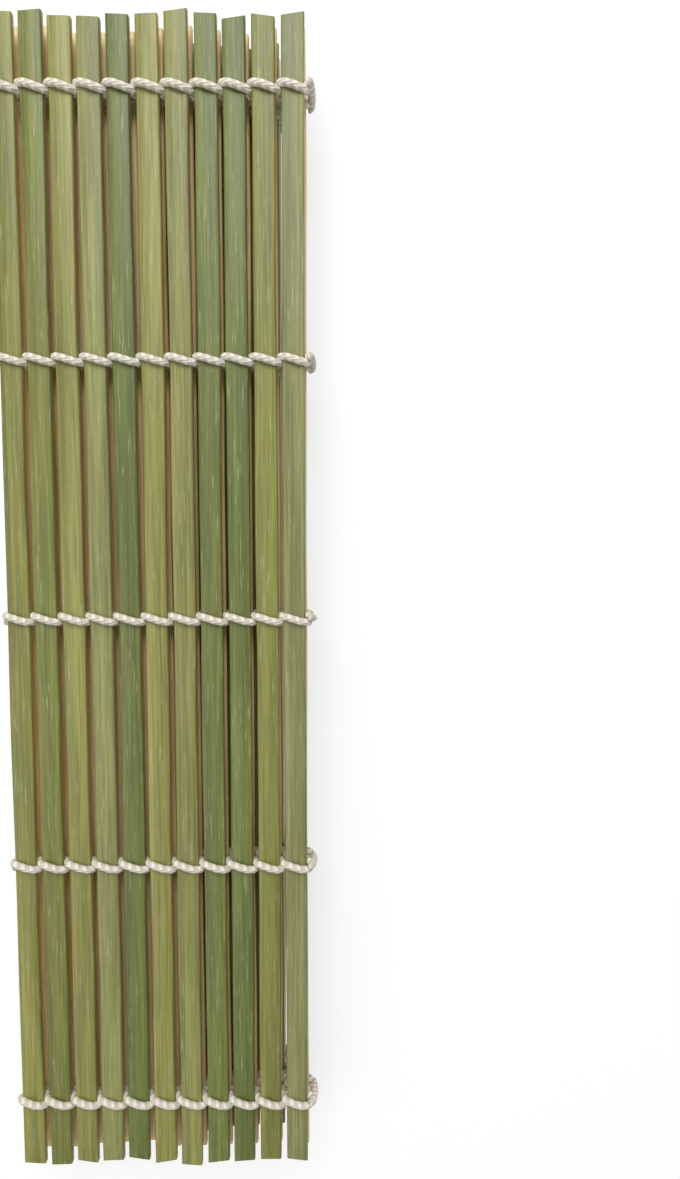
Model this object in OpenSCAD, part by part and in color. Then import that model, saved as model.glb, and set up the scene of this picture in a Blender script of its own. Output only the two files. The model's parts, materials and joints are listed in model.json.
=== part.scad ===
/* [Slats] */
// Length of a bamboo slat
slat_len = 240; // [200:5:270]
// Width of a slat
slat_w = 4.8; // [4:0.1:5.1]
// Thickness of a slat
slat_t = 1.8; // [1.4:0.1:2.2]
// Space between two slats, which the cords pass through
slat_gap = 0.9; // [0.8:0.1:1.4]
// Slats in each of the two upper layers of the folded mat
upper_layer_count = 11; // [8:1:11]
// Slats in each of the two lower layers of the folded mat
lower_layer_count = 10; // [8:1:10]
// How far the cut ends of the slats differ in length
end_spread = 1.2; // [0:0.2:2]

/* [Cords] */
// Thickness of a cotton strand where it lies on a slat
strand_t = 1.5; // [1:0.1:1.8]
// Width of a strand along the slat
strand_w = 1.5; // [1:0.1:2]
// Thickness of a strand squeezed between two slats
squeezed_t = 0.6; // [0.4:0.05:0.7]
// Space left between the two strands of a row
strand_gap = 0.1; // [0.05:0.05:0.3]
// Distance between two cord rows
row_pitch = 52.5; // [40:0.5:55]

/* [Fold] */
// Space left between the cords of two layers that lie on each other
layer_gap = 0.2; // [0.1:0.05:0.5]

/* [Hidden] */
ROWS = 5;
SEAT = 0.02;
// Half the space between the cord ends of two layers when they lie flat
end_room = 0.05;
// How far a bight stands off the slats at a fold
bulge = strand_t + 0.15;
step = slat_w + slat_gap;
proud = slat_t / 2 + strand_t;
layer_rise = 2 * proud + layer_gap;
counts = [upper_layer_count, upper_layer_count, lower_layer_count, lower_layer_count];
centre_x = upper_layer_count * step / 2;
function layer_z(layer) = proud + (4 - layer) * layer_rise;
function before(layer) = layer <= 1 ? 0 : counts[layer - 2] + before(layer - 1);
total = before(5);
function pad(n) = n < 10 ? str("0", n) : str(n);
function slat_name(n) = str("slat_", pad(n));
function layer_of(n) = n <= before(2) ? 1 : n <= before(3) ? 2 : n <= before(4) ? 3 : 4;

// How much one cut end stands off the mean length, by a plain rule
function end_off(n, top) = end_spread * sin(n * 67 + (top ? 0 : 140)) / 2;
// How far one cut end slants across the slat
function slant(n, top) = end_spread * sin(n * 113 + (top ? 40 : 0)) / 2;

// A slat is a split bamboo strip with slightly slanted, saw-cut ends
module slat_shape(n) {
    y = slat_len / 2 - end_spread;
    color(n % 3 == 0 ? "darkkhaki" : "olivedrab")
        linear_extrude(height = slat_t)
            polygon([
                [0, -y + end_off(n, false) + slant(n, false)],
                [slat_w, -y + end_off(n, false) - slant(n, false)],
                [slat_w, y + end_off(n, true) - slant(n, true)],
                [0, y + end_off(n, true) + slant(n, true)]]);
}

// The place of slat n in its layer
module slat(n) {
    layer = layer_of(n);
    place = n - before(layer) - 1;
    translate([-centre_x + place * step + slat_gap / 2, 0,
            layer_z(layer) - slat_t / 2])
        slat_shape(n);
}

// The outline of one strand that goes over one slat and under the next, seen along the slats
function side(k, first) = ((k + first) % 2 == 0) ? 1 : -1;
// A leg at the end of a layer stops short of the fold, so that two layers can lie flat
function over_points(k, first, count) = let (
        s = side(k, first),
        h = squeezed_t / 2,
        xa = k * step - (k == 0 ? -end_room : h),
        xb = (k + 1) * step + (k == count - 1 ? -end_room : h),
        z1 = slat_t / 2 + strand_t,
        r = strand_t / 2)
    [[xa, s * (z1 - r)], [xa + r, s * z1], [xb - r, s * z1], [xb, s * (z1 - r)]];
function under_points(k, first) = let (
        s = side(k, first),
        x0 = k * step,
        h = squeezed_t / 2,
        z0 = slat_t / 2 + SEAT)
    [[x0 + h, s * z0], [x0 + step - h, s * z0]];
// One pass is a closed loop over a slat and its two legs in the gaps
module strand_pass(k, first, count) {
    outer = over_points(k, first, count);
    inner = under_points(k, first);
    polygon(concat([[outer[0][0], 0]], outer, [[outer[3][0], 0], [inner[1][0], 0]],
        [inner[1], inner[0]], [[inner[0][0], 0]]));
}
module strand(count, first) {
    rotate([90, 0, 0])
        linear_extrude(height = strand_w)
            for (k = [0 : count - 1])
                strand_pass(k, first, count);
}

// The two strands of each row, woven over and under the slats of one layer
module cords_layer(layer) {
    color("ivory")
        translate([-centre_x, 0, layer_z(layer)])
            for (row = [0 : ROWS - 1])
                translate([0, (row - (ROWS - 1) / 2) * row_pitch, 0]) {
                    translate([0, strand_w + strand_gap / 2, 0])
                        strand(counts[layer - 1], 0);
                    translate([0, -strand_gap / 2, 0])
                        strand(counts[layer - 1], 1);
                }
}

// The outline of a bight, seen along the slats, from the top cord to the bottom cord of two layers
module bight_outline() {
    top = layer_rise / 2 + proud;
    corner = strand_t / 2;
    low = top - strand_t;
    polygon([[0, top], [bulge - corner, top], [bulge, top - corner],
        [bulge, corner - top], [bulge - corner, -top], [0, -top],
        [0, -low], [bulge - strand_t, -low], [bulge - strand_t, low], [0, low]]);
}

// The bight of each row that goes round a fold from one layer to the next
module fold_cords(layer, right) {
    edge = right ? counts[layer - 1] * step : 0;
    color("ivory")
        translate([edge - centre_x, 0, layer_z(layer) - layer_rise / 2])
            for (row = [0 : ROWS - 1])
                translate([0, (row - (ROWS - 1) / 2) * row_pitch + strand_w / 2, 0])
                    rotate([90, 0, 0])
                        mirror([right ? 0 : 1, 0, 0])
                            linear_extrude(height = strand_w)
                                bight_outline();
}

for (n = [1 : total])
    slat(n);
cords_layer(1);  // cords_layer_1
cords_layer(2);  // cords_layer_2
cords_layer(3);  // cords_layer_3
cords_layer(4);  // cords_layer_4
fold_cords(1, true);  // fold_cords_1_2
fold_cords(2, false);  // fold_cords_2_3
fold_cords(3, true);  // fold_cords_3_4
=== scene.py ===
import json
import math
import bpy
import numpy as np
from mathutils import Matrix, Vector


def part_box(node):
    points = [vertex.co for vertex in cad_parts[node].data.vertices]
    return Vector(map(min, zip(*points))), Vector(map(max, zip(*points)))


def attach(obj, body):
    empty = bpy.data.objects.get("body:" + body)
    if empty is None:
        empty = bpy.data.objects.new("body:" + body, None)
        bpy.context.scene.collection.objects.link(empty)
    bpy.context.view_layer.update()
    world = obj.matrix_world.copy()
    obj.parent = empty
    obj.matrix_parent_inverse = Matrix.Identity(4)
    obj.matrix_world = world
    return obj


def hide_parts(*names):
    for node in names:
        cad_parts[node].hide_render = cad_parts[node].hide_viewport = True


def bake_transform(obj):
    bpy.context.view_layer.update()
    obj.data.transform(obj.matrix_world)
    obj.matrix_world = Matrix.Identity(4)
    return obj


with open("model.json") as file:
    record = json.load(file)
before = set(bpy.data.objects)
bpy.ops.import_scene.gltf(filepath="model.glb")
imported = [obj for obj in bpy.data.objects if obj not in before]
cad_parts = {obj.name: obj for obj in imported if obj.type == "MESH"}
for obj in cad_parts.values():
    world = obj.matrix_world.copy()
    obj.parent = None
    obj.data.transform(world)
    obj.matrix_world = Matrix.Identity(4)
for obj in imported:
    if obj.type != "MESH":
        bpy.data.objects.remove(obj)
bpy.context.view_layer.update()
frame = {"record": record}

# The camera hangs over the mat, tipped so that the far end of the picture is a little nearer.
# The mat stands in the left half of the frame. The focal length is in pixels of the 680x1179 frame.
PICTURE_HEIGHT = 1179
FOCAL_PIXELS = 790
SENSOR_MM = 36
CAMERA_PLACE = (0.0378, 0.0186, 0.180)
CAMERA_TIP = math.radians(-4.4)
NEAREST_SEEN = 0.005

camera_data = bpy.data.cameras.new("camera")
camera_data.sensor_width = SENSOR_MM
camera_data.lens = FOCAL_PIXELS / PICTURE_HEIGHT * SENSOR_MM
camera_data.clip_start = NEAREST_SEEN
camera = bpy.data.objects.new("camera", camera_data)
camera.location = CAMERA_PLACE
camera.rotation_euler = (CAMERA_TIP, 0, 0)
bpy.context.scene.collection.objects.link(camera)
bpy.context.scene.camera = camera
bpy.context.scene.view_settings.view_transform = "Standard"

# Split bamboo slats, green skin on one face and pale flesh on the other, sawn to length.
# Each is a strip with softly rounded edges that wanders a little, with its own tone of green.
SLAT_WIDTH = 0.0048
SLAT_THICK = 0.0018
SLAT_RINGS = 61
EDGE_ROUND = 0.00035
SLOW_WANDER = 0.00008
QUICK_WANDER = 0.00004
WIDTH_SHARE = 0.945
WIDTH_SWING = 0.02
THICK_SHARE = 0.98
LIFT = 0.00003
END_ROOM = 0.0006
END_SLANT = 0.0004
END_HOLLOW = 0.0004
ALONG_GRAIN = {"fine": 0.02, "broad": 0.03, "fleck": 0.05}
GRAIN_SIZE = {"fine": 2600, "broad": 420, "fleck": 3800}
GREENS = [(0.0, (0.115, 0.145, 0.032)), (0.35, (0.175, 0.19, 0.04)),
          (0.7, (0.235, 0.23, 0.06)), (1.0, (0.185, 0.205, 0.085))]
STREAKS = [(0.35, (0.72, 0.74, 0.6)), (0.65, (1.1, 1.08, 1.0))]
FIBRES = [(0.36, (0.74, 0.74, 0.66)), (0.62, (1.12, 1.1, 1.05))]
FLECKS = [(0.60, (0, 0, 0)), (0.74, (0.28, 0.28, 0.28))]
FLECK_COLOUR = (0.50, 0.52, 0.33)
FLESH = [(0.3, (0.52, 0.36, 0.15)), (0.7, (0.78, 0.62, 0.34))]
CUT_ENDS = [(0.35, (0.45, 0.34, 0.12)), (0.6, (0.80, 0.70, 0.40))]
BAMBOO_ROUGHNESS = 0.48
GRAIN_STRENGTH = 0.35
GRAIN_DEPTH = 0.00012
# The mat is folded to and fro, so every other layer lies with its skin down
SKIN_UP = {"layer_1": True, "layer_2": False, "layer_3": True, "layer_4": False}


def slat_section():
    """A rounded rectangle: four corners of three points each, run round from the upper right."""
    points = []
    for corner, (side_x, side_z) in enumerate([(1, 1), (-1, 1), (-1, -1), (1, -1)]):
        centre_x = side_x * (SLAT_WIDTH / 2 - EDGE_ROUND)
        centre_z = side_z * (SLAT_THICK / 2 - EDGE_ROUND)
        for turn in (0, 45, 90):
            angle = math.radians(corner * 90 + turn)
            points.append((centre_x + EDGE_ROUND * math.cos(angle),
                           centre_z + EDGE_ROUND * math.sin(angle)))
    return np.array(points)


def slat_mesh(name, low, high, skin_up, seed):
    """The section carried along Y; its middle, width and height swing by slow sines.

    The ends slant and are a little hollow, by a share of the distance from the slat's middle.
    """
    draw = np.random.default_rng(seed)
    section = slat_section()
    sides = len(section)
    u = np.linspace(0, 1, SLAT_RINGS)[:, None]
    phase = draw.uniform(0, 2 * math.pi, 4)
    wander = (SLOW_WANDER * np.sin(2 * math.pi * u + phase[0])
              + QUICK_WANDER * np.sin(9 * math.pi * u + phase[1]))
    width = WIDTH_SHARE + WIDTH_SWING * np.sin(5 * math.pi * u + phase[2])
    lift = LIFT * np.sin(7 * math.pi * u + phase[3])
    x = (low[0] + high[0]) / 2 + wander + section[:, 0] * width
    z = (low[2] + high[2]) / 2 + lift + section[:, 1] * THICK_SHARE
    across = section[:, 0] / (SLAT_WIDTH / 2)
    slant = draw.uniform(-END_SLANT, END_SLANT, 2)
    hollow = draw.uniform(0, END_HOLLOW, 2)
    start = low[1] + END_ROOM + slant[0] * across + hollow[0] * (1 - across ** 2)
    stop = high[1] - END_ROOM + slant[1] * across - hollow[1] * (1 - across ** 2)
    y = start + (stop - start) * u
    points = np.stack([x, y, z], axis=-1).reshape(-1, 3)
    ring = np.arange(SLAT_RINGS - 1)[:, None] * sides
    a = ring + np.arange(sides)
    b = ring + (np.arange(sides) + 1) % sides
    faces = np.stack([a, a + sides, b + sides, b], axis=-1).reshape(-1, 4).tolist()
    # The cut ends have points of their own, so that their colour and edge stay sharp
    base = len(points)
    points = np.concatenate([points, points[:sides], points[-sides:]])
    faces.append(list(range(base, base + sides)))
    faces.append(list(range(base + 2 * sides - 1, base + sides - 1, -1)))
    mesh = bpy.data.meshes.new(name)
    mesh.from_pydata(points.tolist(), [], faces)
    skin = np.tile((section[:, 1] > 0) == skin_up, SLAT_RINGS + 2).astype(np.float32)
    cut = np.concatenate([np.zeros(base), np.ones(2 * sides)]).astype(np.float32)
    tone = np.full(len(points), draw.uniform(0, 1), dtype=np.float32)
    for label, values in (("skin", skin), ("cut", cut), ("tone", tone)):
        mesh.attributes.new(label, "FLOAT", "POINT").data.foreach_set("value", values)
    smooth = np.ones(len(faces), dtype=bool)
    smooth[-2:] = False
    mesh.polygons.foreach_set("use_smooth", smooth)
    mesh.update()
    return mesh


def attribute(nodes, label):
    """The value that a mesh attribute holds at the shaded point."""
    node = nodes.new("ShaderNodeAttribute")
    node.attribute_name = label
    return node.outputs["Fac"]


def grain(nodes, links, scale, stretch, detail):
    """Noise drawn out along Y, by shrinking that Object coordinate."""
    place = nodes.new("ShaderNodeTexCoord")
    mapping = nodes.new("ShaderNodeMapping")
    mapping.inputs["Scale"].default_value = (1, stretch, 1)
    noise = nodes.new("ShaderNodeTexNoise")
    noise.inputs["Scale"].default_value = scale
    noise.inputs["Detail"].default_value = detail
    links.new(place.outputs["Object"], mapping.inputs["Vector"])
    links.new(mapping.outputs["Vector"], noise.inputs["Vector"])
    return noise.outputs["Fac"]


def ramp(nodes, links, value, stops):
    """A colour for each value from 0 to 1, blended between the stops."""
    node = nodes.new("ShaderNodeValToRGB")
    while len(node.color_ramp.elements) < len(stops):
        node.color_ramp.elements.new(0.5)
    for element, (place, colour) in zip(node.color_ramp.elements, stops):
        element.position = place
        element.color = (*colour, 1)
    links.new(value, node.inputs["Fac"])
    return node.outputs["Color"]


def mix(nodes, links, kind, amount, first, second):
    """Two colours blended in the way that kind names."""
    node = nodes.new("ShaderNodeMix")
    node.data_type = "RGBA"
    node.blend_type = kind
    for socket, value in ((node.inputs[0], amount), (node.inputs[6], first), (node.inputs[7], second)):
        if isinstance(value, bpy.types.NodeSocket):
            links.new(value, socket)
        elif isinstance(value, tuple):
            socket.default_value = (*value, 1)
        else:
            socket.default_value = value
    return node.outputs[2]


def rough_surface(nodes, links, shader, height, strength, depth):
    """Small relief on the shader, from a height value."""
    bump = nodes.new("ShaderNodeBump")
    bump.inputs["Strength"].default_value = strength
    bump.inputs["Distance"].default_value = depth
    links.new(height, bump.inputs["Height"])
    links.new(bump.outputs["Normal"], shader.inputs["Normal"])


def bamboo_material():
    """Green skin, cream flesh and pale cut ends, told apart by the mesh attributes."""
    material = bpy.data.materials.new("green_bamboo")
    material.use_nodes = True
    nodes = material.node_tree.nodes
    links = material.node_tree.links
    shader = nodes["Principled BSDF"]
    fine = grain(nodes, links, GRAIN_SIZE["fine"], ALONG_GRAIN["fine"], 4)
    broad = grain(nodes, links, GRAIN_SIZE["broad"], ALONG_GRAIN["broad"], 3)
    fleck = grain(nodes, links, GRAIN_SIZE["fleck"], ALONG_GRAIN["fleck"], 2)
    greens = ramp(nodes, links, attribute(nodes, "tone"), GREENS)
    skin = mix(nodes, links, "MULTIPLY", 1.0, greens, ramp(nodes, links, broad, STREAKS))
    skin = mix(nodes, links, "MULTIPLY", 1.0, skin, ramp(nodes, links, fine, FIBRES))
    skin = mix(nodes, links, "MIX", ramp(nodes, links, fleck, FLECKS), skin, FLECK_COLOUR)
    flesh = ramp(nodes, links, fine, FLESH)
    faces = mix(nodes, links, "MIX", attribute(nodes, "skin"), flesh, skin)
    ends = ramp(nodes, links, fine, CUT_ENDS)
    colour = mix(nodes, links, "MIX", attribute(nodes, "cut"), faces, ends)
    links.new(colour, shader.inputs["Base Color"])
    shader.inputs["Roughness"].default_value = BAMBOO_ROUGHNESS
    rough_surface(nodes, links, shader, fine, GRAIN_STRENGTH, GRAIN_DEPTH)
    return material


bamboo = bamboo_material()
for body_name, skin_up in SKIN_UP.items():
    for node_name in frame["record"]["behaviour"]["bodies"][body_name]:
        if not node_name.startswith("slat_"):
            continue
        low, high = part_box(node_name)
        number = int(node_name[-2:])
        mesh = slat_mesh(node_name + "_bamboo", low, high, skin_up, number)
        mesh.materials.append(bamboo)
        piece = bpy.data.objects.new(node_name + "_bamboo", mesh)
        bpy.context.scene.collection.objects.link(piece)
        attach(piece, body_name)
        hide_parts(node_name)

# Plied white cotton cords, two strands to a row, twined so that one passes over each slat.
# The front strand runs from upper left to lower right over every slat and dips in the gap.
SLAT_STEP = 0.0057
CORD_RADIUS = 0.00078
CORD_SEAT = 0.92
TWINE_REACH = 0.0006
TWINE_FLATNESS = 0.4
ROW_PITCH = 0.0525
ROWS = 5
CORD_SIDES = 10
RINGS_PER_SLAT = 14
PLY_LENGTH = 0.0016
# Painted shade: the dark stop darkens the grooves between the plies; the light stop is the cotton's own
# off-white.
PLY_GROOVE_PAINTED_SHADE = [(0.0, (0.56, 0.52, 0.44)), (0.5, (0.76, 0.71, 0.62))]
FIBRE_SIZE = 5000
FIBRE_SHADE = [(0.3, (0.86, 0.85, 0.82)), (0.7, (1, 1, 1))]
COTTON_ROUGHNESS = 0.9
PLY_STRENGTH = 0.5
PLY_DEPTH = 0.00015


def tube(name, path, radius):
    """A round section carried along a path, square to it, with closed flat ends.

    The lay attribute grows along the path and once round it, so that lines of it wind as plies do.
    """
    along = np.gradient(path, axis=0)
    along /= np.linalg.norm(along, axis=1)[:, None]
    side = np.cross(along, np.array([0.0, 1.0, 0.0]))
    side /= np.linalg.norm(side, axis=1)[:, None]
    up = np.cross(side, along)
    angle = np.linspace(0, 2 * math.pi, CORD_SIDES, endpoint=False)
    rings = (path[:, None, :] + radius * (np.cos(angle)[None, :, None] * side[:, None, :]
             + np.sin(angle)[None, :, None] * up[:, None, :]))
    points = rings.reshape(-1, 3)
    ring = np.arange(len(path) - 1)[:, None] * CORD_SIDES
    a = ring + np.arange(CORD_SIDES)
    b = ring + (np.arange(CORD_SIDES) + 1) % CORD_SIDES
    faces = np.stack([a, a + CORD_SIDES, b + CORD_SIDES, b], axis=-1).reshape(-1, 4).tolist()
    last = len(points) - CORD_SIDES
    faces.append(list(range(CORD_SIDES)))
    faces.append(list(range(last + CORD_SIDES - 1, last - 1, -1)))
    length = np.concatenate([[0], np.cumsum(np.linalg.norm(np.diff(path, axis=0), axis=1))])
    mesh = bpy.data.meshes.new(name)
    mesh.from_pydata(points.tolist(), [], faces)
    lay = length[:, None] / PLY_LENGTH + angle[None, :] / (2 * math.pi)
    mesh.attributes.new("lay", "FLOAT", "POINT").data.foreach_set("value", lay.astype(np.float32).ravel())
    mesh.polygons.foreach_set("use_smooth", np.ones(len(faces), dtype=bool))
    mesh.update()
    return mesh


def cotton_material():
    """Off-white cotton with slanting bands of painted shade in the grooves between plies, from the lay
    attribute.
    """
    material = bpy.data.materials.new("white_cotton")
    material.use_nodes = True
    nodes = material.node_tree.nodes
    links = material.node_tree.links
    shader = nodes["Principled BSDF"]
    turn = nodes.new("ShaderNodeMath")
    turn.operation = "MULTIPLY"
    turn.inputs[1].default_value = 2 * math.pi
    wave = nodes.new("ShaderNodeMath")
    wave.operation = "SINE"
    links.new(attribute(nodes, "lay"), turn.inputs[0])
    links.new(turn.outputs[0], wave.inputs[0])
    # Painted shade in the ply grooves, where the sine of the lay is low.
    shade = ramp(nodes, links, wave.outputs[0], PLY_GROOVE_PAINTED_SHADE)
    fibre = ramp(nodes, links, grain(nodes, links, FIBRE_SIZE, 1, 3), FIBRE_SHADE)
    links.new(mix(nodes, links, "MULTIPLY", 1.0, shade, fibre), shader.inputs["Base Color"])
    shader.inputs["Roughness"].default_value = COTTON_ROUGHNESS
    rough_surface(nodes, links, shader, wave.outputs[0], PLY_STRENGTH, PLY_DEPTH)
    return material


def row_place(row):
    """The Y of a cord row, the rows being evenly spaced about the middle of the mat."""
    return (row - (ROWS - 1) / 2) * ROW_PITCH


def twined_path(left, count, row_y, middle_z, first):
    """Round the slats as a twine: over and under by a flattened sine, to and fro by a cosine."""
    turn = np.linspace(0, count, count * RINGS_PER_SLAT + 1)
    angle = math.pi * (turn + first)
    rise = np.sign(np.sin(angle)) * np.abs(np.sin(angle)) ** TWINE_FLATNESS
    x = left + turn * SLAT_STEP
    y = row_y + TWINE_REACH * np.cos(angle)
    z = middle_z + (SLAT_THICK / 2 + CORD_RADIUS * CORD_SEAT) * rise
    return np.stack([x, y, z], axis=-1)


def add_cord(name, mesh):
    """One cord piece with its material and slot."""
    mesh.materials.append(cotton)
    piece = bpy.data.objects.new(name, mesh)
    bpy.context.scene.collection.objects.link(piece)
    return piece


cotton = cotton_material()
for layer in (1, 2, 3, 4):
    node_name = f"cords_layer_{layer}"
    low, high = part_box(node_name)
    count = round((high[0] - low[0]) / SLAT_STEP)
    for row in range(ROWS):
        for first in (0, 1):
            path = twined_path(low[0], count, row_place(row), (low[2] + high[2]) / 2, first)
            name = f"cord_{layer}_{row + 1}_{first + 1}"
            piece = add_cord(name, tube(name, path, CORD_RADIUS))
            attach(piece, f"layer_{layer}")
            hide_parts(node_name)

# The bights of the cords where they go round a fold, from the outer face of one layer to the next.
# Each is a slack U of the same cotton, baked in place and fixed to no layer.
BIGHT_REACH = 0.0008
BIGHT_RINGS = 25


def bight_path(edge, out, row_y, low_z, high_z):
    """A flattened half round from the lower cord to the upper one, standing out by one reach."""
    angle = np.linspace(-math.pi / 2, math.pi / 2, BIGHT_RINGS)
    half = (high_z - low_z) / 2 - CORD_RADIUS
    x = edge + out * BIGHT_REACH * np.cos(angle) ** 0.5
    y = row_y + TWINE_REACH * np.sin(angle)
    z = (low_z + high_z) / 2 + half * np.sin(angle)
    return np.stack([x, y, z], axis=-1)


for upper, out in ((1, 1), (2, -1), (3, 1)):
    node_name = f"fold_cords_{upper}_{upper + 1}"
    low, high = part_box(node_name)
    edge = low[0] if out > 0 else high[0]
    for row in range(ROWS):
        row_y = row_place(row)
        name = f"bight_{upper}_{row + 1}"
        piece = add_cord(name, tube(name, bight_path(edge, out, row_y, low[2], high[2]), CORD_RADIUS))
        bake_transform(piece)
        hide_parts(node_name)

# A plain white table, which the camera sees a little brighter than the lamps light it.
# Its shade under the object is left in the picture.
FLOOR_SIZE = 4
FLOOR_COLOUR = (0.9, 0.9, 0.9, 1)
FLOOR_ROUGHNESS = 0.9
FLOOR_GLOW_SHARE = 0.7

bpy.ops.mesh.primitive_plane_add(size=FLOOR_SIZE)
floor = bpy.context.object
floor.name = "floor"
floor_material = bpy.data.materials.new("white_table")
floor_material.use_nodes = True
nodes = floor_material.node_tree.nodes
links = floor_material.node_tree.links
table = nodes["Principled BSDF"]
table.inputs["Base Color"].default_value = FLOOR_COLOUR
table.inputs["Roughness"].default_value = FLOOR_ROUGHNESS
glow = nodes.new("ShaderNodeEmission")
seen = nodes.new("ShaderNodeLightPath")
share = nodes.new("ShaderNodeMath")
share.operation = "MULTIPLY"
share.inputs[1].default_value = FLOOR_GLOW_SHARE
both = nodes.new("ShaderNodeMixShader")
links.new(seen.outputs["Is Camera Ray"], share.inputs[0])
links.new(share.outputs[0], both.inputs[0])
links.new(table.outputs[0], both.inputs[1])
links.new(glow.outputs[0], both.inputs[2])
links.new(both.outputs[0], nodes["Material Output"].inputs["Surface"])
floor.data.materials.append(floor_material)

# Soft light: an even white world, a key lamp over the far end of the picture, and a weak fill.
# Each lamp is a square area lamp that faces the mat's middle.
WORLD_STRENGTH = 0.48
LAMPS = (("key", (0.0, 0.5, 0.6), 0.4, 5.0), ("fill", (-0.4, -0.2, 0.7), 0.6, 2.0))

world = bpy.data.worlds.new("studio")
bpy.context.scene.world = world
world.use_nodes = True
world.node_tree.nodes["Background"].inputs["Color"].default_value = (1, 1, 1, 1)
world.node_tree.nodes["Background"].inputs["Strength"].default_value = WORLD_STRENGTH
for name, place, size, power in LAMPS:
    lamp_data = bpy.data.lights.new(name, "AREA")
    lamp_data.size = size
    lamp_data.energy = power
    lamp = bpy.data.objects.new(name, lamp_data)
    lamp.location = place
    lean = math.atan2(math.hypot(place[0], place[1]), place[2])
    lamp.rotation_euler = (lean, 0, math.atan2(place[0], -place[1]))
    bpy.context.scene.collection.objects.link(lamp)
